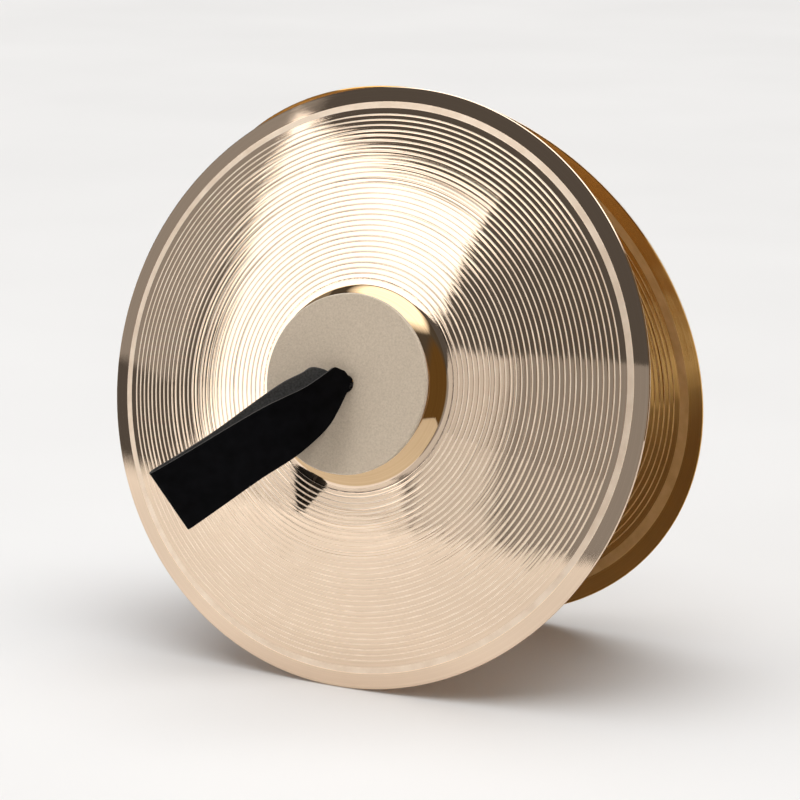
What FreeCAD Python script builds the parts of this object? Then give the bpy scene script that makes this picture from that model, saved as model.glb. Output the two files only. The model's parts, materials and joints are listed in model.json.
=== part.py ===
import FreeCAD, Part
import Sketcher
import math
import os
from FreeCAD import Placement, Rotation, Vector

# A pair of 14 inch hand cymbals that stand on their rims and lean on each other.
# Each cymbal has a felt pad on its bell and a leather hand strap, knotted inside the bell.
# A cymbal's pieces are made in a frame of their own: z = 0 is the plane of the rim, +z runs
# along the cymbal's axis and out through its bell, and +y runs up the plate.

DRIVING_SIZES = {
    "plate_radius": 178.0,          # 14 inch plate
    "plate_thickness": 1.2,
    "bow_height": 21.0,             # outer face at the foot of the bell
    "bow_curve": 830.0,             # radius of the bow's section
    "bell_radius": 58.5,
    "bell_height": 32.3,            # outer face at the crown
    "crown_radius": 18.0,           # flat part of the bell, where the pad sits
    "plate_hole_radius": 6.0,
    "pad_radius": 53.0,
    "pad_thickness": 3.2,
    "pad_edge_radius": 1.2,
    "pad_hole_radius": 6.5,
    "turning_gap": 0.3,             # between pieces that turn on each other
    "neck_width": 8.0,
    "neck_thickness": 4.4,
    "bend_rise": 3.0,               # the strap bends this far above the pad
    "knot_width": 30.0,
    "knot_depth": 8.0,
    "tail_width": 9.0,
    "tail_thickness": 2.4,
    "tail_length": 24.0,
    "tail_offset": 8.0,             # each tail leaves the knot to one side of its middle
    "strap_length": 122.0,          # from the bend to the fold of the hand loop
    "strap_width": 40.0,
    "strap_thickness": 2.5,
    "root_gap": 0.5,                # between the neck's round end and the loop
    "root_width": 7.0,
    "shoulder_width": 32.5,         # where the taper from the neck ends
    "upper_shoulder": 11.0,
    "lower_shoulder": 31.0,
    "near_bulge": 17.5,             # how far the upper layer bows away from the plate
    "far_bulge": 3.0,               # how far the lower layer bows towards it
    "opening_start": 7.0,
    "opening_end": 98.0,
    "layers_meet": 104.0,           # the layers lie on each other from here to the fold
    "strap_heading": 225.3,         # degrees about the cymbal's axis, from its +x
    "strap_rise": 23.0,             # degrees off the pad's face
    "strap_roll": -34.0,            # degrees about the strap's own length
    "lean_angle": 14.5,             # degrees off the vertical
    "side_offset": 3.3,             # each cymbal is off the pair's middle, in opposite ways
    "rim_gap": 0.25,                # from each rim's top to the upright plane between them
}

doc = FreeCAD.newDocument("hand_cymbals")
sheet = doc.addObject("Spreadsheet::Sheet", "Sizes")
for row, (alias, number) in enumerate(DRIVING_SIZES.items(), start=1):
    sheet.set(f"A{row}", alias)
    sheet.set(f"B{row}", str(number))
    sheet.setAlias(f"B{row}", alias)
doc.recompute()


# ---- Expressions and outlines ----

def value(expression):
    """The number that an expression in the sheet's cells stands for."""
    result = sheet.evalExpression(expression)
    return float(getattr(result, "Value", result))


def bind(target, sizes):
    """Bind an object's properties to expressions."""
    for name, expression in sizes.items():
        target.setExpression(name, expression)


def bind_constraint(sketch, name, kind, place, expression):
    """Add a named constraint to a sketch and bind it to an expression."""
    number = sketch.addConstraint(Sketcher.Constraint(kind, *place, value(expression)))
    sketch.renameConstraint(number, name)
    sketch.setExpression(f"Constraints.{name}", expression)


def short_arc(start, end, radius):
    """The short arc from start to end, anticlockwise."""
    chord = end - start
    left = Vector(-chord.y, chord.x, 0).normalize()
    reach = math.sqrt(radius**2 - (chord.Length / 2) ** 2)
    centre = (start + end) / 2 + left * reach
    return Part.Arc(start, centre - left * radius, end)


def draw_outline(sketch, name, corners, arcs=None):
    """Draw a closed outline whose corners and radii are bound to the sheet.

    corners holds (x, y) expressions. arcs maps the number of a side to (radius, turn), where
    turn is "left" or "right" as the outline is walked.
    """
    arcs = arcs or {}
    points = [Vector(value(x), value(y), 0) for x, y in corners]
    first_ends = []
    last_ends = []
    for side, start in enumerate(points):
        end = points[(side + 1) % len(points)]
        radius, turn = arcs.get(side, (None, "left"))
        if radius is None:
            edge = Part.LineSegment(start, end)
        elif turn == "left":
            edge = short_arc(start, end, value(radius))
        else:
            edge = short_arc(end, start, value(radius))
        geometry = sketch.addGeometry(edge)
        first_ends.append((geometry, 1 if turn == "left" else 2))
        last_ends.append((geometry, 2 if turn == "left" else 1))
    for side, vertex in enumerate(first_ends):
        sketch.addConstraint(Sketcher.Constraint("Coincident", *last_ends[side - 1], *vertex))
        for axis, expression in zip("XY", corners[side]):
            place = (-1, 1, *vertex)
            bind_constraint(sketch, f"{name}_{axis}{side}", f"Distance{axis}", place, expression)
    for side, (radius, _) in arcs.items():
        place = (first_ends[side][0],)
        bind_constraint(sketch, f"{name}_radius{side}", "Radius", place, radius)


def mirrored(corners):
    """The same corners on the other side of the x axis, walked back."""
    return [(x, f"-({y})") for x, y in reversed(corners)]


def body_with_profile(node, corners, arcs=None):
    """A PartDesign body turned about its z axis from one profile of radius and height."""
    body = doc.addObject("PartDesign::Body", node)
    sketch = body.newObject("Sketcher::SketchObject", f"{node}_profile")
    plane = next(item for item in body.Origin.OriginFeatures if item.Role == "XZ_Plane")
    sketch.AttachmentSupport = [(plane, "")]
    sketch.MapMode = "FlatFace"
    draw_outline(sketch, "profile", corners, arcs)
    turned = body.newObject("PartDesign::Revolution", f"{node}_turned")
    turned.Profile = sketch
    turned.ReferenceAxis = (sketch, ["V_Axis"])
    turned.Angle = 360.0
    return body


# ---- Where each cymbal and each strap stands ----

def cymbal_place(half_turn):
    """The front cymbal's placement, or the rear's, which is half a turn round the pair."""
    lean = value("Sizes.lean_angle")
    sine = math.sin(math.radians(lean))
    cosine = math.cos(math.radians(lean))
    radius = value("Sizes.plate_radius")
    centre = Vector(value("Sizes.side_offset"), -radius * sine - value("Sizes.rim_gap"),
                    radius * cosine)
    standing = Placement(centre, Rotation(0, 0, 90 - lean))
    return Placement(Vector(), Rotation(Vector(0, 0, 1), half_turn)) * standing


BEND_HEIGHT = ("(Sizes.bell_height + Sizes.turning_gap + Sizes.pad_thickness"
               " + Sizes.bend_rise)")


def neck_place(place):
    """Origin on the axis at the rim plane, x along the strap's heading."""
    return place * Placement(Vector(), Rotation(Vector(0, 0, 1), value("Sizes.strap_heading")))


def loop_place(place):
    """Origin at the bend, x towards the loop's fold, y across its width."""
    angles = [value(f"Sizes.strap_{name}") for name in ("heading", "rise", "roll")]
    turn = Rotation(angles[0], -angles[1], angles[2])
    return place * Placement(Vector(0, 0, value(BEND_HEIGHT)), turn)


# ---- The pieces ----

def make_plate(node, place):
    """The bronze plate: bow, bell, flat crown and the hole at its centre."""
    inner_bow = ("Sizes.bell_radius - Sizes.plate_thickness / 3",
                 "Sizes.bow_height - Sizes.plate_thickness")
    inner_crown = "Sizes.bell_height - Sizes.plate_thickness"
    bell_run = "(Sizes.bell_radius - Sizes.crown_radius)"
    bell_drop = "(Sizes.bell_height - Sizes.bow_height)"
    bell_curve = f"({bell_run} ^ 2 + {bell_drop} ^ 2) / (2 * {bell_drop})"
    corners = [
        ("Sizes.plate_radius", "Sizes.plate_thickness"),
        ("Sizes.bell_radius", "Sizes.bow_height"),
        ("Sizes.crown_radius", "Sizes.bell_height"),
        ("Sizes.plate_hole_radius", "Sizes.bell_height"),
        ("Sizes.plate_hole_radius", inner_crown),
        ("Sizes.crown_radius", inner_crown),
        inner_bow,
        ("Sizes.plate_radius", "0"),
    ]
    arcs = {
        0: ("Sizes.bow_curve", "left"),
        1: (bell_curve, "left"),
        5: (f"{bell_curve} - Sizes.plate_thickness", "right"),
        6: ("Sizes.bow_curve - Sizes.plate_thickness", "right"),
    }
    plate = body_with_profile(node, corners, arcs)
    plate.Placement = place
    return plate


def make_pad(node, place):
    """The flat felt disc that lies on the bell, with rounded edges."""
    low = "(Sizes.bell_height + Sizes.turning_gap)"
    high = f"({low} + Sizes.pad_thickness)"
    round_start = "Sizes.pad_radius - Sizes.pad_edge_radius"
    corners = [
        ("Sizes.pad_hole_radius", low),
        (round_start, low),
        ("Sizes.pad_radius", f"{low} + Sizes.pad_edge_radius"),
        ("Sizes.pad_radius", f"{high} - Sizes.pad_edge_radius"),
        (round_start, high),
        ("Sizes.pad_hole_radius", high),
    ]
    arcs = {side: ("Sizes.pad_edge_radius", "left") for side in (1, 3)}
    pad = body_with_profile(node, corners, arcs)
    pad.Placement = place
    return pad


KNOT_TOP = "(Sizes.bell_height - Sizes.plate_thickness - Sizes.turning_gap)"


def centred_box(name, place, centre, length, width, height, bottom):
    """A box with its middle at centre in x and y, standing on bottom."""
    box = doc.addObject("Part::Box", name)
    bind(box, {"Length": length, "Width": width, "Height": height})
    corner = Vector(value(centre[0]) - value(length) / 2, value(centre[1]) - value(width) / 2,
                    value(bottom))
    box.Placement = place * Placement(corner, Rotation())
    return box


def make_neck(node, place):
    """Both layers of the strap, narrow, through the plate and the pad up to the bend."""
    turned = neck_place(place)
    straight = centred_box(f"{node}_straight", turned, ("0", "0"), "Sizes.neck_thickness",
                           "Sizes.neck_width", f"{BEND_HEIGHT} - {KNOT_TOP}", KNOT_TOP)
    bend = doc.addObject("Part::Cylinder", f"{node}_bend")
    bind(bend, {"Radius": "Sizes.neck_thickness / 2", "Height": "Sizes.neck_width"})
    start = Vector(0, value("Sizes.neck_width") / 2, value(BEND_HEIGHT))
    bend.Placement = turned * Placement(start, Rotation(Vector(1, 0, 0), 90))
    neck = doc.addObject("Part::Fuse", node)
    neck.Base = straight
    neck.Tool = bend
    return neck


def make_knot(node, place):
    """The plain block that the woven square knot fills, against the inside of the bell."""
    return centred_box(node, neck_place(place), ("0", "0"), "Sizes.knot_width",
                       "Sizes.knot_width", "Sizes.knot_depth",
                       f"{KNOT_TOP} - Sizes.knot_depth")


def make_tails(node, place):
    """The four cut ends of the strap, one out of each side of the knot."""
    reach = "(Sizes.knot_width + Sizes.tail_length) / 2"
    tails = []
    for quarter in range(4):
        turned = neck_place(place) * Placement(Vector(), Rotation(90 * quarter, 0, 0))
        tails.append(centred_box(f"{node}_{quarter + 1}", turned,
                                 (reach, "Sizes.tail_offset"), "Sizes.tail_length",
                                 "Sizes.tail_width", "Sizes.tail_thickness",
                                 f"{KNOT_TOP} - Sizes.knot_depth + Sizes.tail_thickness"))
    group = doc.addObject("Part::Compound", node)
    group.Links = tails
    return group


def extruded(name, sketch, height):
    """A sketch drawn out to both sides of its plane."""
    solid = doc.addObject("Part::Extrusion", name)
    solid.Base = sketch
    solid.DirMode = "Normal"
    solid.Solid = True
    solid.Symmetric = True
    bind(solid, {"LengthFwd": height})
    return solid


def make_loop(node, place):
    """The hand loop: two layers that part towards the bend and meet towards the fold.

    Its side view is drawn out across the strap and trimmed to the strap's own outline.
    """
    turned = loop_place(place)
    root = "(Sizes.neck_thickness / 2 + Sizes.root_gap)"
    layer = "Sizes.strap_thickness"
    run = "((Sizes.layers_meet - Sizes.neck_thickness / 2 - Sizes.root_gap) / 2)"
    gap_run = "((Sizes.opening_end - Sizes.opening_start) / 2)"
    near, far = [(f"({run} ^ 2 + {bulge} ^ 2) / (2 * {bulge})",
                  f"({gap_run} ^ 2 + {bulge} ^ 2) / (2 * {bulge})")
                 for bulge in ("Sizes.near_bulge", "Sizes.far_bulge")]

    side_view = doc.addObject("Sketcher::SketchObject", f"{node}_side_view")
    side_view.Placement = turned * Placement(Vector(), Rotation(Vector(1, 0, 0), 90))
    near_half = [
        ("Sizes.strap_length - Sizes.strap_thickness", layer),
        ("Sizes.layers_meet", layer),
        (root, layer),
    ]
    fold = [("Sizes.strap_length", "0")]
    draw_outline(side_view, "layers", fold + near_half + mirrored(near_half),
                 {0: (layer, "left"), 2: (near[0], "left"), 4: (far[0], "left"),
                  6: (layer, "left")})
    draw_outline(side_view, "opening",
                 [("Sizes.opening_end", "0"), ("Sizes.opening_start", "0")],
                 {0: (near[1], "left"), 1: (far[1], "left")})

    outline = doc.addObject("Sketcher::SketchObject", f"{node}_outline")
    outline.Placement = turned
    end = "Sizes.strap_length + Sizes.strap_thickness"
    corners = [
        (root, "-Sizes.root_width / 2"),
        ("Sizes.upper_shoulder", "-Sizes.shoulder_width / 2"),
        (end, "-Sizes.strap_width / 2"),
        (end, "Sizes.strap_width / 2"),
        ("Sizes.lower_shoulder", "Sizes.shoulder_width / 2"),
        (root, "Sizes.root_width / 2"),
    ]
    draw_outline(outline, "outline", corners)

    loop = doc.addObject("Part::Common", node)
    loop.Base = extruded(f"{node}_layers", side_view, "Sizes.strap_width * 1.1")
    loop.Tool = extruded(f"{node}_trim", outline, "Sizes.near_bulge * 3")
    return loop


PIECES = {
    "cymbal": make_plate,
    "pad": make_pad,
    "strap_neck": make_neck,
    "strap_knot": make_knot,
    "strap_tails": make_tails,
    "strap_loop": make_loop,
}

nodes = []
for side, half_turn in (("rear", 180), ("front", 0)):
    for piece, make in PIECES.items():
        item = make(f"{side}_{piece}", cymbal_place(half_turn))
        item.Label = f"{side}_{piece}"
        nodes.append(item)
doc.recompute()


# ---- Check and export ----

for item in doc.Objects:
    if "Invalid" in item.State or "Error" in item.State:
        raise RuntimeError(f"{item.Label} did not build: {item.State}")

os.makedirs("parts", exist_ok=True)
for item in nodes:
    shape = item.Shape
    if shape.isNull() or not shape.isValid():
        raise RuntimeError(f"{item.Label} has a bad shape")
    shape.exportStep(f"parts/{item.Label}.step")
    box = shape.BoundBox
    print(f"{item.Label}: {shape.Volume:.0f} mm3, {len(shape.Solids)} solids, "
          f"x {box.XMin:.1f}..{box.XMax:.1f}, y {box.YMin:.1f}..{box.YMax:.1f}, "
          f"z {box.ZMin:.1f}..{box.ZMax:.1f}")
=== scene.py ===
import json
import math

import bmesh
import bpy
from mathutils import Matrix, Vector


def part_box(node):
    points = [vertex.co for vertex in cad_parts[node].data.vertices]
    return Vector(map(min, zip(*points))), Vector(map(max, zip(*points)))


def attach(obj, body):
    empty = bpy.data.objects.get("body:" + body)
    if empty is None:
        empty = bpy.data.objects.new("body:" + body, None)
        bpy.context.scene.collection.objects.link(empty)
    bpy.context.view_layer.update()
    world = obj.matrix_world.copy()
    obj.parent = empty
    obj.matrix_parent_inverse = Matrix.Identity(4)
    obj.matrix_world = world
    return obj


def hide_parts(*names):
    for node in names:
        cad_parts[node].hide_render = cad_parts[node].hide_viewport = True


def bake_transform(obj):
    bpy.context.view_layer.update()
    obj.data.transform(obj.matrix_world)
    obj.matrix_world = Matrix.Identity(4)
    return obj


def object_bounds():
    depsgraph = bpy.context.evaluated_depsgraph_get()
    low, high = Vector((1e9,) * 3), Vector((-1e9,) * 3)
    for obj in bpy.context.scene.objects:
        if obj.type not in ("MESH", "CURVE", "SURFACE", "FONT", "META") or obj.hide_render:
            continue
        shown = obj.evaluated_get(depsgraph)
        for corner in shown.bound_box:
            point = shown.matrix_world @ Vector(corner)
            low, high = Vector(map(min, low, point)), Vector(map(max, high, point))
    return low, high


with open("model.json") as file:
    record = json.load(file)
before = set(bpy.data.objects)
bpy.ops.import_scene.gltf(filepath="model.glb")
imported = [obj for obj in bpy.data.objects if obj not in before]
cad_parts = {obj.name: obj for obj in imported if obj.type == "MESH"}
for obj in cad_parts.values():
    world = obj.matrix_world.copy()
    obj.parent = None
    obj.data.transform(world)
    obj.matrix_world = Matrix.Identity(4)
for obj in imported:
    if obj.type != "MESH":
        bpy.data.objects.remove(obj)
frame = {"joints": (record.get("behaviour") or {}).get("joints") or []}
cad_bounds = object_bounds()

SIDES = ("front", "rear")
JOINTS = {joint["name"]: joint for joint in frame["joints"]}

# ---- Sizes, in metres, in a cymbal's own frame: z = 0 is the rim plane, +z is out of the bell ----

PLATE_RADIUS = (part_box("front_cymbal")[1].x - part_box("front_cymbal")[0].x) / 2
PLATE_THICKNESS = 0.0012
BOW_HEIGHT = 0.0210
BOW_CURVE = 0.830
BELL_RADIUS = 0.0585
BELL_HEIGHT = 0.0323
CROWN_RADIUS = 0.0180
HOLE_RADIUS = 0.0060
PAD_RADIUS = 0.0530
PAD_LOW = 0.0326
PAD_HIGH = 0.0358
PAD_HOLE_RADIUS = 0.0052
BEND_HEIGHT = 0.0388
KNOT_TOP = 0.0308
STRAP_LENGTH = 0.122
STRAP_WIDTH = 0.0400
STRAP_THICKNESS = 0.0023
STRAP_RISE = math.radians(23)
STRAP_ROLL = math.radians(-34)
NECK_WIDTH = 0.0072


def cymbal_frame(side):
    """Row frame from a cymbal's own frame, whose +y runs up the plate."""
    bend = JOINTS[f"{side}_strap_swing"]
    outward = Vector(JOINTS[f"{side}_pad_turn"]["axis"]).normalized()
    across = Vector((0, 0, 1)).cross(outward).normalized()
    up_plate = outward.cross(across)
    origin = Vector(bend["pos_m"]) - outward * BEND_HEIGHT
    columns = Matrix((across, up_plate, outward)).transposed()
    return Matrix.Translation(origin) @ columns.to_4x4()


def strap_heading(side):
    """Angle of the strap about its cymbal's axis."""
    hinge = cymbal_frame(side).to_3x3().inverted() @ Vector(JOINTS[f"{side}_strap_swing"]["axis"])
    along = Vector((0, 0, 1)).cross(hinge)
    return math.atan2(along.y, along.x)


# ---- Materials ----

def new_material(name, **inputs):
    """A material with a Principled shader, and its node tree."""
    material = bpy.data.materials.new(name)
    material.use_nodes = True
    shader = material.node_tree.nodes["Principled BSDF"]
    for socket, setting in inputs.items():
        shader.inputs[socket.replace("_", " ")].default_value = setting
    return material, material.node_tree, shader


def add_node(tree, kind, **settings):
    """A node whose settings are its inputs' values or, failing that, its own properties."""
    node = tree.nodes.new(kind)
    for name, setting in settings.items():
        if name in node.inputs:
            node.inputs[name].default_value = setting
        else:
            setattr(node, name, setting)
    return node


def noise(tree, scale, detail=3.0, stretch=(1, 1, 1)):
    """Noise in the object's own coordinates."""
    place = add_node(tree, "ShaderNodeTexCoord")
    mapping = add_node(tree, "ShaderNodeMapping", Scale=stretch)
    cloud = add_node(tree, "ShaderNodeTexNoise", Scale=scale, Detail=detail)
    tree.links.new(place.outputs["Object"], mapping.inputs["Vector"])
    tree.links.new(mapping.outputs["Vector"], cloud.inputs["Vector"])
    return cloud.outputs["Fac"]


def ramp(tree, factor, stops):
    """Colours by factor, from (position, colour) stops."""
    node = add_node(tree, "ShaderNodeValToRGB")
    elements = node.color_ramp.elements
    while len(elements) < len(stops):
        elements.new(0.5)
    for element, (position, colour) in zip(elements, stops):
        element.position = position
        element.color = (*colour, 1)
    tree.links.new(factor, node.inputs["Fac"])
    return node.outputs["Color"]


def spread(tree, factor, low, high):
    """Factor 0..1 to low..high."""
    node = add_node(tree, "ShaderNodeMapRange")
    node.inputs["To Min"].default_value = low
    node.inputs["To Max"].default_value = high
    tree.links.new(factor, node.inputs["Value"])
    return node.outputs["Result"]


def mixed(tree, factor, socket, colour):
    """The socket's colour where factor is 0, turning into the given colour where it is 1."""
    node = add_node(tree, "ShaderNodeMix", data_type="RGBA")
    first, second, result = node.inputs[6], node.inputs[7], node.outputs[2]
    tree.links.new(factor, node.inputs["Factor"])
    tree.links.new(socket, first)
    second.default_value = (*colour, 1)
    return result


def bump(tree, shader, height, strength, distance):
    """Bump from a height socket, into the shader's normal."""
    node = add_node(tree, "ShaderNodeBump", Strength=strength, Distance=distance)
    tree.links.new(height, node.inputs["Height"])
    tree.links.new(node.outputs["Normal"], shader.inputs["Normal"])
    return node


def lathe_marks(tree, scale, detail=2.0):
    """Noise that changes with the radius alone, read from the mesh's ring attribute."""
    ring = add_node(tree, "ShaderNodeAttribute", attribute_name="ring")
    cloud = add_node(tree, "ShaderNodeTexNoise", noise_dimensions="1D", Scale=scale, Detail=detail)
    tree.links.new(ring.outputs["Fac"], cloud.inputs["W"])
    return cloud.outputs["Fac"]


def polished_metal(name, dark, light):
    """Mirror polish with fine lathe marks and the slight waviness of a hammered plate."""
    material, tree, shader = new_material(name, Metallic=1.0)
    tone = ramp(tree, lathe_marks(tree, 900), [(0.3, dark), (0.7, light)])
    tree.links.new(tone, shader.inputs["Base Color"])
    tree.links.new(spread(tree, noise(tree, 60, 4), 0.02, 0.05), shader.inputs["Roughness"])
    waves = bump(tree, shader, noise(tree, 22, 2), 0.3, 0.0005)
    marks = bump(tree, shader, lathe_marks(tree, 2600), 0.03, 0.0002)
    tree.links.new(waves.outputs["Normal"], marks.inputs["Normal"])
    return material


def satin_metal(name, dark, light, smoothest, roughest):
    """Brushed rings and grooves: broad highlights with fine lathe marks."""
    material, tree, shader = new_material(name, Metallic=1.0)
    tone = ramp(tree, noise(tree, 90, 4), [(0.35, dark), (0.65, light)])
    tree.links.new(tone, shader.inputs["Base Color"])
    roughness = spread(tree, lathe_marks(tree, 3000), smoothest, roughest)
    tree.links.new(roughness, shader.inputs["Roughness"])
    bump(tree, shader, lathe_marks(tree, 9000), 0.25, 0.0001)
    return material


def felt():
    material, tree, shader = new_material(
        "felt", Roughness=0.95, Sheen_Weight=0.35, Sheen_Roughness=0.6, Specular_IOR_Level=0.15)
    tone = ramp(tree, noise(tree, 900, 8), [(0.30, (0.53, 0.44, 0.335)), (0.5, (0.60, 0.50, 0.385)),
                                           (0.72, (0.66, 0.56, 0.44))])
    tree.links.new(tone, shader.inputs["Base Color"])
    bump(tree, shader, noise(tree, 2600, 6), 0.55, 0.0006)
    return material


def felt_edge():
    material, tree, shader = new_material(
        "felt_edge", Roughness=0.95, Sheen_Weight=0.3, Specular_IOR_Level=0.1)
    tone = ramp(tree, noise(tree, 900, 6), [(0.3, (0.62, 0.53, 0.42)), (0.7, (0.80, 0.70, 0.57))])
    tree.links.new(tone, shader.inputs["Base Color"])
    bump(tree, shader, noise(tree, 3000, 6), 0.7, 0.0006)
    return material


def leather_grain():
    material, tree, shader = new_material("leather_grain", Specular_IOR_Level=0.035)
    cells = add_node(tree, "ShaderNodeTexVoronoi", Scale=1400, feature="DISTANCE_TO_EDGE")
    place = add_node(tree, "ShaderNodeTexCoord")
    tree.links.new(place.outputs["Object"], cells.inputs["Vector"])
    pebbles = ramp(tree, cells.outputs["Distance"], [(0.0, (0, 0, 0)), (0.12, (1, 1, 1))])
    tone = ramp(tree, noise(tree, 160, 5), [(0.3, (0.0012, 0.0012, 0.0016)),
                                           (0.7, (0.0035, 0.0035, 0.0045))])
    tree.links.new(tone, shader.inputs["Base Color"])
    tree.links.new(spread(tree, noise(tree, 420, 4), 0.42, 0.62), shader.inputs["Roughness"])
    bump(tree, shader, pebbles, 0.18, 0.0002)
    return material


def leather_flesh():
    material, tree, shader = new_material(
        "leather_flesh", Roughness=0.9, Sheen_Weight=0.25, Specular_IOR_Level=0.2)
    tone = ramp(tree, noise(tree, 900, 6), [(0.3, (0.045, 0.045, 0.046)), (0.7, (0.095, 0.095, 0.094))])
    tree.links.new(tone, shader.inputs["Base Color"])
    bump(tree, shader, noise(tree, 2400, 6), 0.5, 0.0005)
    return material


def leather_edge():
    material, tree, shader = new_material("leather_edge", Roughness=0.75, Specular_IOR_Level=0.3)
    tone = ramp(tree, noise(tree, 1200, 5), [(0.3, (0.014, 0.013, 0.013)), (0.7, (0.045, 0.042, 0.040))])
    tree.links.new(tone, shader.inputs["Base Color"])
    bump(tree, shader, noise(tree, 2600, 5), 0.4, 0.0003)
    return material


def floor_paint():
    material, tree, shader = new_material("floor_paint", Roughness=0.6, Specular_IOR_Level=0.2)
    tone = ramp(tree, noise(tree, 3, 2), [(0.3, (0.80, 0.80, 0.80)), (0.7, (0.83, 0.83, 0.83))])
    tree.links.new(tone, shader.inputs["Base Color"])
    return material


# ---- Plates ----

def arc_height(radius, curve, start, end):
    """Height at radius of the dome arc through two (radius, height) points."""
    run, rise = start[0] - end[0], end[1] - start[1]
    half_chord = math.hypot(run, rise) / 2
    reach = math.sqrt(curve**2 - half_chord**2) / (2 * half_chord)
    centre = ((start[0] + end[0]) / 2 - rise * reach, (start[1] + end[1]) / 2 - run * reach)
    return centre[1] + math.sqrt(curve**2 - (radius - centre[0]) ** 2)


def outer_height(radius):
    """The plate's outer face: bow, softened foot, bell and flat crown."""
    foot = (BELL_RADIUS, BOW_HEIGHT)
    bow = arc_height(radius, BOW_CURVE, (PLATE_RADIUS, PLATE_THICKNESS), foot)
    run, drop = BELL_RADIUS - CROWN_RADIUS, BELL_HEIGHT - BOW_HEIGHT
    curve = (run**2 + drop**2) / (2 * drop)
    offset = min(max(radius - CROWN_RADIUS, 0), 2 * run)
    bell = BELL_HEIGHT - curve + math.sqrt(max(curve**2 - offset**2, 0))
    softness = 0.0005
    return (bow + bell + math.hypot(bow - bell, softness)) / 2


def inner_height(radius):
    """The inner face, one plate thickness under the outer face along its normal."""
    step = 0.0002
    slope = (outer_height(radius + step) - outer_height(radius - step)) / (2 * step)
    return outer_height(radius) - PLATE_THICKNESS * math.hypot(1, slope)


# Slots in BRONZE. The inner-face offset added to POLISHED or SATIN gives the inner face's polished or
# satin slot. Its deep gold colour is painted light that stands in for the warm light bounced between the
# two plates.
POLISHED, SATIN, PAINTED_BOUNCE, BELL = 0, 1, 2, 4

# First and last groove's radius, pitch and groove width of a face, and its broad satin ring's radii.
OUTER_GROOVES = (0.1611, 0.0641), 0.00317, 0.00105
OUTER_RING = (0.1689, 0.1652)
INNER_GROOVES = (0.1574, 0.0640), 0.00345, 0.0010
INNER_RING = (0.1677, 0.1614)
GROOVE_DEPTH = 0.00008
RING_DEPTH = 0.00003
LAND_CROWN = 0.000004


def land_tilt(number):
    """How far one edge of a land stands over the other: lathed lands are never quite alike."""
    return 0.000009 * math.sin(2.4 * number) + 0.000006 * math.sin(5.1 * number)


def satin_ring(height, direction, radii):
    """Profile points (radius, height, finish) of a broad, slightly sunk ring."""
    outer, inner = radii
    wall = 0.00008
    steps = [(outer + wall, POLISHED, 0), (outer, SATIN, -RING_DEPTH),
             ((outer + inner) / 2, SATIN, -RING_DEPTH), (inner, SATIN, -RING_DEPTH),
             (inner - wall, POLISHED, 0)]
    return [(radius, height(radius) + direction * level, finish) for radius, finish, level in steps]


def grooved_face(height, direction, radii, pitch, groove_width):
    """Profile points of the satin grooves and, between two of them, a polished crowned land."""
    points = []
    count = int(round((radii[0] - radii[1]) / pitch)) + 1
    land = pitch - groove_width
    for number in range(count):
        middle = radii[0] - number * pitch
        tilt = land_tilt(number)
        steps = [(groove_width / 2, SATIN, 0), (groove_width * 0.25, SATIN, -GROOVE_DEPTH),
                 (-groove_width * 0.25, SATIN, -GROOVE_DEPTH), (-groove_width / 2, POLISHED, 0)]
        if number < count - 1:
            steps += [(-groove_width / 2 - land * part, POLISHED,
                       4 * LAND_CROWN * part * (1 - part) + tilt * (part - 0.5))
                      for part in (0.02, 0.25, 0.5, 0.75, 0.98)]
        for shift, finish, level in steps:
            radius = middle + shift
            points.append((radius, height(radius) + direction * level, finish))
    return points


def plain_stretch(height, start, end, steps, finish=POLISHED):
    """Smooth profile points from one radius to another, both ends included."""
    radii = [start + (end - start) * step / steps for step in range(steps + 1)]
    return [(radius, height(radius), finish) for radius in radii]


def plate_profile():
    """The whole section: outer face inwards, hole wall, inner face outwards, rim."""
    edge = 0.0004
    corner = 0.0003
    outer = plain_stretch(outer_height, PLATE_RADIUS - edge, 0.1695, 3)
    outer += satin_ring(outer_height, 1, OUTER_RING)
    outer += grooved_face(outer_height, 1, *OUTER_GROOVES)
    outer += plain_stretch(outer_height, 0.0632, BELL_RADIUS + 0.0006, 6)
    outer += plain_stretch(outer_height, BELL_RADIUS + 0.0002, HOLE_RADIUS + corner, 40, BELL)
    inner = plain_stretch(inner_height, PLATE_RADIUS - edge, 0.1685, 3)
    inner += satin_ring(inner_height, -1, INNER_RING)
    inner += grooved_face(inner_height, -1, *INNER_GROOVES)
    inner += plain_stretch(inner_height, 0.0625, HOLE_RADIUS + corner, 32)
    # The inner face takes the deep gold slots: painted bounce light from between the plates, not the
    # bronze's own colour.
    painted_bounce_inner = [(radius, level, finish + PAINTED_BOUNCE) for radius, level, finish in inner[::-1]]
    hole = [(HOLE_RADIUS, BELL_HEIGHT - corner, POLISHED),
            (HOLE_RADIUS, BELL_HEIGHT - PLATE_THICKNESS + corner, POLISHED)]
    rim_top = outer_height(PLATE_RADIUS)
    rim = [(PLATE_RADIUS, rim_top - PLATE_THICKNESS * 0.72, SATIN),
           (PLATE_RADIUS, rim_top - PLATE_THICKNESS * 0.28, SATIN)]
    return outer + hole + painted_bounce_inner + rim


def shared_finish(finish, next_finish):
    """The slot of the face between two profile points: the polished one where they differ."""
    if finish == next_finish:
        return finish
    return max(finish, next_finish) // PAINTED_BOUNCE * PAINTED_BOUNCE


def turned_faces(segments, count):
    """Quads round a closed section of count points, as (step, next step, corners)."""
    for turn in range(segments):
        this, following = turn * count, (turn + 1) % segments * count
        for step in range(count):
            after = (step + 1) % count
            yield step, after, (this + step, following + step, following + after, this + after)


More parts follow.
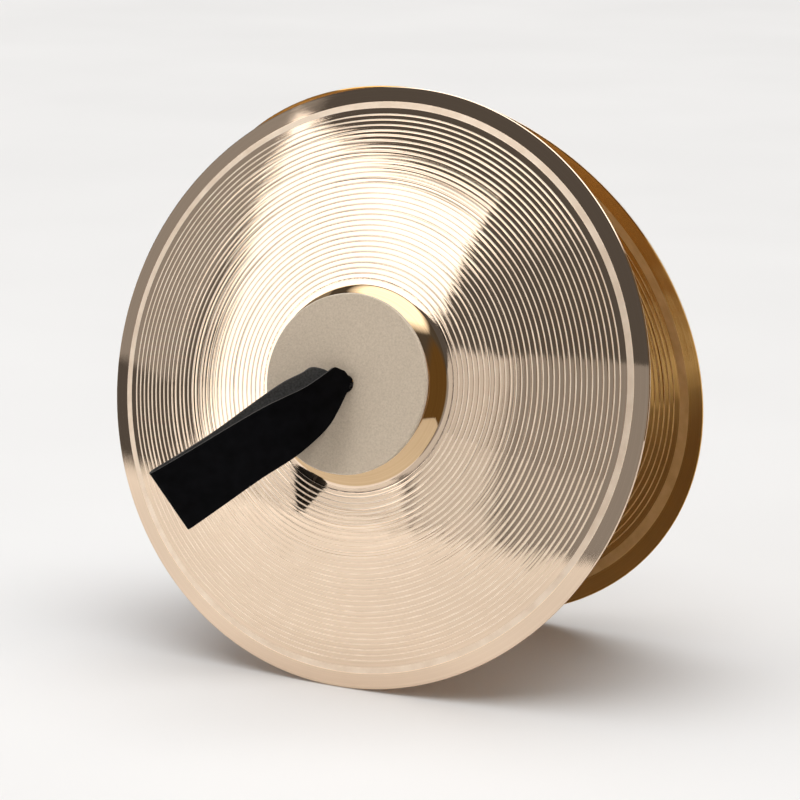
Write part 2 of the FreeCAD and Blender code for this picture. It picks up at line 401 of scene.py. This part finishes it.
def make_plate(side, materials):
    """The plate, turned from its section, with the radius kept for the lathe marks."""
    segments = 240
    profile = plate_profile()
    turns = [2 * math.pi * number / segments for number in range(segments)]
    points = [(radius * math.cos(turn), radius * math.sin(turn), level)
              for turn in turns for radius, level, _ in profile]
    faces = []
    finishes = []
    for step, after, corners in turned_faces(segments, len(profile)):
        faces.append(corners)
        finishes.append(shared_finish(profile[step][2], profile[after][2]))
    mesh = bpy.data.meshes.new(f"{side}_plate")
    mesh.from_pydata(points, [], faces)
    mesh.polygons.foreach_set("material_index", finishes)
    ring = mesh.attributes.new("ring", "FLOAT", "POINT")
    ring.data.foreach_set("value", [radius for _ in turns for radius, _, _ in profile])
    return add_piece(side, f"{side}_plate", mesh, materials)


# ---- Pieces in general ----

def add_piece(side, name, mesh, materials):
    """A smooth mesh object, moved from its cymbal's frame to the row frame."""
    mesh.transform(cymbal_frame(side))
    mesh.update()
    form = bmesh.new()
    form.from_mesh(mesh)
    bmesh.ops.recalc_face_normals(form, faces=form.faces)
    form.to_mesh(mesh)
    form.free()
    mesh.shade_smooth()
    mesh.set_sharp_from_angle(angle=math.radians(9))
    for material in materials:
        mesh.materials.append(material)
    piece = bpy.data.objects.new(name, mesh)
    bpy.context.scene.collection.objects.link(piece)
    return piece


# ---- Pads ----

FACE, CUT_FACE = 0, 1


def pad_section():
    """Points (radius, height, slot) round half the pad: top, cut edge, underside."""
    rings = 44
    edge = 0.0006
    dimple_depth, dimple_reach = 0.0006, 0.006
    section = []
    for step in range(rings + 1):
        radius = PAD_HOLE_RADIUS + (PAD_RADIUS - edge - PAD_HOLE_RADIUS) * step / rings
        dimple = dimple_depth * math.exp(-(((radius - PAD_HOLE_RADIUS) / dimple_reach) ** 2))
        section.append((radius, PAD_HIGH - dimple, FACE))
    section += [(PAD_RADIUS, PAD_HIGH - edge, CUT_FACE),
                (PAD_RADIUS + 0.0001, (PAD_HIGH + PAD_LOW) / 2, CUT_FACE),
                (PAD_RADIUS, PAD_LOW + edge, CUT_FACE), (PAD_RADIUS - edge, PAD_LOW, CUT_FACE)]
    return section + [(PAD_RADIUS * 0.6, PAD_LOW, FACE), (PAD_HOLE_RADIUS, PAD_LOW, FACE)]


def make_pad(side, materials):
    """A felt disc with a ragged cut edge, pulled in a little where the strap enters it."""
    segments = 160
    section = pad_section()
    points = []
    for number in range(segments):
        turn = 2 * math.pi * number / segments
        ragged = 1 + 0.0012 * math.sin(5 * turn + 1) + 0.0008 * math.sin(13 * turn)
        for radius, level, _ in section:
            wave = 0.00018 * math.sin(3 * turn + 0.7) * (radius / PAD_RADIUS) ** 2
            reach = radius * (ragged if radius > PAD_RADIUS * 0.9 else 1)
            points.append((reach * math.cos(turn), reach * math.sin(turn), level + wave))
    faces = []
    slots = []
    for step, after, corners in turned_faces(segments, len(section)):
        faces.append(corners)
        slots.append(max(section[step][2], section[after][2]))
    mesh = bpy.data.meshes.new(f"{side}_felt_pad")
    mesh.from_pydata(points, [], faces)
    mesh.polygons.foreach_set("material_index", slots)
    return add_piece(side, f"{side}_felt_pad", mesh, materials)


# ---- Leather ----

GRAIN, FLESH, CUT_EDGE = 0, 1, 2


def smooth_path(stations, steps):
    """Catmull-Rom points through stations, each a (position, across, width) tuple."""
    result = []
    for number in range(len(stations) - 1):
        quad = [stations[min(max(number + shift, 0), len(stations) - 1)] for shift in (-1, 0, 1, 2)]
        for step in range(steps):
            result.append(spline_station(quad, step / steps))
    result.append(stations[-1])
    return result


def spline_station(quad, part):
    """The station at part, 0 to 1, between the middle two of four."""
    weights = (
        -0.5 * part + part**2 - 0.5 * part**3,
        1 - 2.5 * part**2 + 1.5 * part**3,
        0.5 * part + 2 * part**2 - 1.5 * part**3,
        -0.5 * part**2 + 0.5 * part**3,
    )
    position = sum((quad[i][0] * weights[i] for i in range(4)), Vector())
    across = sum((quad[i][1] * weights[i] for i in range(4)), Vector()).normalized()
    width = sum(quad[i][2] * weights[i] for i in range(4))
    return position, across, width


def ribbon(name, stations, steps, thickness, cross=8):
    """A leather strip along stations, as a mesh with grain, flesh and cut edges."""
    path = smooth_path(stations, steps)
    points = [position + across * (width * (column / cross - 0.5))
              for position, across, width in path for column in range(cross + 1)]
    row = cross + 1
    faces = [(start + column, start + column + 1, start + column + 1 + row, start + column + row)
             for start in range(0, (len(path) - 1) * row, row) for column in range(cross)]
    mesh = bpy.data.meshes.new(name)
    mesh.from_pydata(points, [], faces)
    shaped = bpy.data.objects.new(name, mesh)
    bpy.context.scene.collection.objects.link(shaped)
    for _ in range(3):
        mesh.materials.append(None)
    mesh.polygons.foreach_set("material_index", [FLESH] * len(mesh.polygons))
    solid = shaped.modifiers.new("solid", "SOLIDIFY")
    solid.thickness = thickness
    solid.offset = 0
    solid.use_even_offset = True
    solid.material_offset = GRAIN - FLESH
    solid.material_offset_rim = CUT_EDGE - FLESH
    soft = shaped.modifiers.new("soft", "BEVEL")
    soft.width = thickness * 0.16
    soft.segments = 2
    soft.limit_method = "ANGLE"
    soft.angle_limit = math.radians(50)
    bpy.context.view_layer.update()
    result = bpy.data.meshes.new_from_object(
        shaped.evaluated_get(bpy.context.evaluated_depsgraph_get()))
    bpy.data.objects.remove(shaped)
    result.name = name
    sides = [face.material_index for face in result.polygons]
    result.materials.clear()
    result.polygons.foreach_set("material_index", sides)
    return result


def loop_frame(side):
    """A cymbal's frame from its strap's: x to the fold, y across the strap, origin at the bend."""
    heading = strap_heading(side)
    turn = (Matrix.Rotation(heading, 4, "Z") @ Matrix.Rotation(-STRAP_RISE, 4, "Y")
            @ Matrix.Rotation(STRAP_ROLL, 4, "X"))
    return Matrix.Translation((0, 0, BEND_HEIGHT)) @ turn


# Sides of the hand loop as (along, middle, width) from the bend. The near side is away from the plate.
NEAR_OUTLINE = [(-0.0034, -0.0030, 0.0085), (-0.0010, -0.0040, 0.0150), (0.0030, -0.0035, 0.0175),
                (0.0120, -0.0020, 0.0225), (0.0210, -0.0010, 0.0270), (0.0330, -0.0015, 0.0315),
                (0.0480, -0.0020, 0.0350), (0.0700, -0.0020, 0.0360), (0.0950, -0.0005, 0.0380)]
FAR_OUTLINE = [(0.0030, -0.0035, 0.0135), (0.0095, -0.0035, 0.0280), (0.0165, -0.0020, 0.0320),
               (0.0290, -0.0015, 0.0360), (0.0480, -0.0010, 0.0365), (0.0740, -0.0005, 0.0360),
               (0.0960, 0.0000, 0.0380)]
LOOP_CREST = 0.042
FOLD_LENGTH = 0.005
FOLD_FLARE = 0.0004
NEAR_GAP, FAR_GAP = 0.0029, 0.0020


def bowed_side(outline, bulge, root, meets, gap):
    """Stations (along, lift, middle, width): up from root to the crest, then down to the gap."""
    stations = []
    for along, middle, width in outline:
        if along < LOOP_CREST:
            lift = bulge * math.sin(math.pi / 2 * (along - root) / (LOOP_CREST - root))
        else:
            fall = min((along - LOOP_CREST) / (meets - LOOP_CREST), 1)
            lift = gap + (bulge - gap) * (1 + math.cos(math.pi * fall)) / 2
        stations.append((along, lift, middle, width))
    return stations


def folded_end():
    """The half turn at the end of the loop, from the near side round to the far side."""
    reach = FOLD_LENGTH - STRAP_THICKNESS / 2
    stations = []
    for degrees in (0, 45, 90, 135, 180):
        turn = math.radians(degrees)
        lift = math.cos(turn) * (NEAR_GAP if degrees < 90 else FAR_GAP)
        along = STRAP_LENGTH - FOLD_LENGTH + reach * math.sin(turn)
        stations.append((along, lift, 0, STRAP_WIDTH + FOLD_FLARE * math.sin(turn)))
    return stations


def strap_stations(side):
    """The strap from the knot, up through the hole, round the hand loop and back."""
    place = loop_frame(side)
    heading = strap_heading(side)
    neck_across = Vector((-math.sin(heading), math.cos(heading), 0))
    out = Vector((math.cos(heading), math.sin(heading), 0))
    loop_across = (place.to_3x3() @ Vector((0, 1, 0))).normalized()
    near = bowed_side(NEAR_OUTLINE, bulge=0.019, root=-0.006, meets=STRAP_LENGTH, gap=NEAR_GAP)
    far = bowed_side(FAR_OUTLINE, bulge=0.004, root=-0.014, meets=0.110, gap=0.0012)
    back = [(along, -lift, middle, width) for along, lift, middle, width in far[::-1]]
    loop = [(place @ Vector((along, middle, lift)), loop_across, width)
            for along, lift, middle, width in near + folded_end() + back]

    def neck(shifts, crest_height):
        """The narrow end of one layer, from the knot to the line that it folds over."""
        crest_across = (neck_across + loop_across * 1.4).normalized()
        heights = (KNOT_TOP - 0.001, PAD_LOW, PAD_HIGH, crest_height)
        return [(out * shift + Vector((0, 0, height)), across, width)
                for shift, height, across, width in zip(
                    shifts, heights, (neck_across, neck_across, neck_across, crest_across),
                    (NECK_WIDTH, NECK_WIDTH, NECK_WIDTH, NECK_WIDTH * 1.1))]

    return (neck((-0.0013, -0.0015, -0.0021, -0.0040), BEND_HEIGHT - 0.0008) + loop
            + neck((0.0013, 0.0013, 0.0014, 0.0018), BEND_HEIGHT - 0.0012)[::-1])


def make_strap(side, materials):
    """The hand loop and both its narrow ends, as one strip."""
    mesh = ribbon(f"{side}_hand_strap", strap_stations(side), 9, STRAP_THICKNESS, 12)
    return add_piece(side, f"{side}_hand_strap", mesh, materials)


def make_knot(side, materials):
    """Four tails that fold back at the knot's edges and are woven over and under each other."""
    parts = []
    heading = strap_heading(side)
    width = 0.0092
    thick = 0.0021
    # along, across, depth under the knot's top
    route = [(-0.001, 0.0020, 0.0002), (-0.005, 0.0050, 0.0014), (-0.0105, 0.0076, 0.0017),
             (-0.0138, 0.0080, 0.0028), (-0.0130, 0.0080, 0.0044), (-0.0080, 0.0080, 0.0064),
             (-0.0010, 0.0080, 0.0056), (0.0075, 0.0080, 0.0042), (0.0150, 0.0080, 0.0047),
             (0.0240, 0.0082, 0.0045), (0.0320, 0.0078, 0.0049), (0.0388, 0.0080, 0.0047)]
    for quarter in range(4):
        turn = Matrix.Rotation(heading + quarter * math.pi / 2, 4, "Z")
        stations = []
        for number, (along, across, depth) in enumerate(route):
            position = turn @ Vector((along, across, KNOT_TOP - depth))
            narrow = 0.55 + 0.45 * min(number / 3, 1)
            stations.append((position, turn.to_3x3() @ Vector((0, 1, 0)), width * narrow))
        parts.append(ribbon(f"{side}_tail_{quarter}", stations, 5, thick, 4))
    form = bmesh.new()
    for part in parts:
        form.from_mesh(part)
    mesh = bpy.data.meshes.new(f"{side}_woven_knot")
    form.to_mesh(mesh)
    form.free()
    return add_piece(side, f"{side}_woven_knot", mesh, materials)


# ---- Put the object together ----

BRONZE = [polished_metal("polished_bronze", (0.755, 0.585, 0.435), (0.80, 0.625, 0.475)),
          satin_metal("satin_bronze", (0.84, 0.68, 0.53), (0.93, 0.78, 0.63), 0.42, 0.58),
          # The next two deep gold finishes are a painted reflection of warm light bounced between the
          # plates, used on the inner faces.
          polished_metal("painted_bounce_bronze", (0.60, 0.345, 0.105), (0.66, 0.39, 0.135)),
          satin_metal("painted_bounce_satin", (0.72, 0.46, 0.20), (0.82, 0.55, 0.26), 0.40, 0.55),
          polished_metal("bell_bronze", (0.62, 0.43, 0.245), (0.67, 0.475, 0.285))]
FELT = [felt(), felt_edge()]
LEATHER = [leather_grain(), leather_flesh(), leather_edge()]

for side in SIDES:
    plate = make_plate(side, BRONZE)
    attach(plate, f"{side}_plate")
    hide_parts(f"{side}_cymbal")

    pad = make_pad(side, FELT)
    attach(pad, f"{side}_felt")
    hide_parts(f"{side}_pad")

    knot = make_knot(side, LEATHER)
    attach(knot, f"{side}_tie")
    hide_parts(f"{side}_strap_knot", f"{side}_strap_tails")

    strap = make_strap(side, LEATHER)
    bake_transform(strap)
    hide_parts(f"{side}_strap_loop", f"{side}_strap_neck")


# ---- Studio ----

WALLS = (0.105, 0.10, 0.097)
WARM_WALL = (0.17, 0.105, 0.037)
CEILING = (2.6, 2.6, 2.6)
BACKDROP = (0.84, 0.84, 0.84)

AIM = Vector((0, 0, (cad_bounds[0].z + cad_bounds[1].z) / 2))


def towards(azimuth, elevation):
    """Unit vector from the object; azimuth 0 is -Y and 90 is +X."""
    turn, tilt = math.radians(azimuth), math.radians(elevation)
    return Vector((math.sin(turn) * math.cos(tilt), -math.cos(turn) * math.cos(tilt), math.sin(tilt)))


def soft_light(name, azimuths, elevations, radiance, distance=5.0):
    """A flat softbox that fills a window of directions round the object."""
    middle = towards(sum(azimuths) / 2, sum(elevations) / 2)
    reach = 2 * distance
    size = (reach * math.tan(math.radians(azimuths[1] - azimuths[0]) / 2)
            * math.cos(math.radians(sum(elevations) / 2)))
    height = reach * math.tan(math.radians(elevations[1] - elevations[0]) / 2)
    light = bpy.data.lights.new(name, "AREA")
    light.shape = "RECTANGLE"
    light.size = size
    light.size_y = height
    light.energy = radiance * math.pi * size * height
    lamp = bpy.data.objects.new(name, light)
    lamp.location = AIM + middle * distance
    lamp.rotation_mode = "QUATERNION"
    lamp.rotation_quaternion = middle.to_track_quat("Z", "Y")
    lamp.visible_camera = False
    bpy.context.scene.collection.objects.link(lamp)


def make_studio():
    """A pale floor, softboxes, and a room that only reflections see: dark, warm at +X, lit above."""
    bpy.ops.mesh.primitive_circle_add(vertices=96, radius=14, fill_type="NGON")
    floor = bpy.context.object
    floor.name = "floor"
    floor.data.materials.append(floor_paint())

    world = bpy.data.worlds.new("studio")
    world.use_nodes = True
    tree = world.node_tree
    direction = add_node(tree, "ShaderNodeTexCoord")
    parts = add_node(tree, "ShaderNodeSeparateXYZ")
    tree.links.new(direction.outputs["Generated"], parts.inputs["Vector"])
    walls = ramp(tree, parts.outputs["X"], [(0.24, WALLS), (0.34, WARM_WALL)])
    upper = ramp(tree, parts.outputs["Z"], [(0.74, (0, 0, 0)), (0.82, (1, 1, 1))])
    sky = mixed(tree, upper, walls, CEILING)
    seen = add_node(tree, "ShaderNodeLightPath").outputs["Is Camera Ray"]
    tree.links.new(mixed(tree, seen, sky, BACKDROP), tree.nodes["Background"].inputs["Color"])
    bpy.context.scene.world = world

    soft_light("key_softbox", (-49, -20), (3, 35), 2.1)
    soft_light("low_panel", (-49, -20), (-1, 2.6), 0.85)
    soft_light("fill_panel", (-19.5, -9.5), (-1, 19), 0.62)
    soft_light("side_panel", (-9, 9), (-1, 20), 0.22)
    soft_light("left_panel", (-85, -51), (7, 40), 0.24)


def make_camera():
    """The camera stands to the right and a little above, far off, with a long lens."""
    azimuth, elevation, distance = 28.5, 13.1, 2.166
    back = towards(azimuth, elevation)
    right = Vector((math.cos(math.radians(azimuth)), math.sin(math.radians(azimuth)), 0))
    up = back.cross(right)
    data = bpy.data.cameras.new("camera")
    data.sensor_width = 36
    data.lens = 162
    camera = bpy.data.objects.new("camera", data)
    bpy.context.scene.collection.objects.link(camera)
    camera.location = AIM - right * 0.0031 - up * 0.0171 + back * distance
    camera.rotation_mode = "QUATERNION"
    camera.rotation_quaternion = back.to_track_quat("Z", "Y")
    bpy.context.scene.camera = camera


make_studio()
make_camera()
bpy.context.scene.view_settings.view_transform = "Standard"
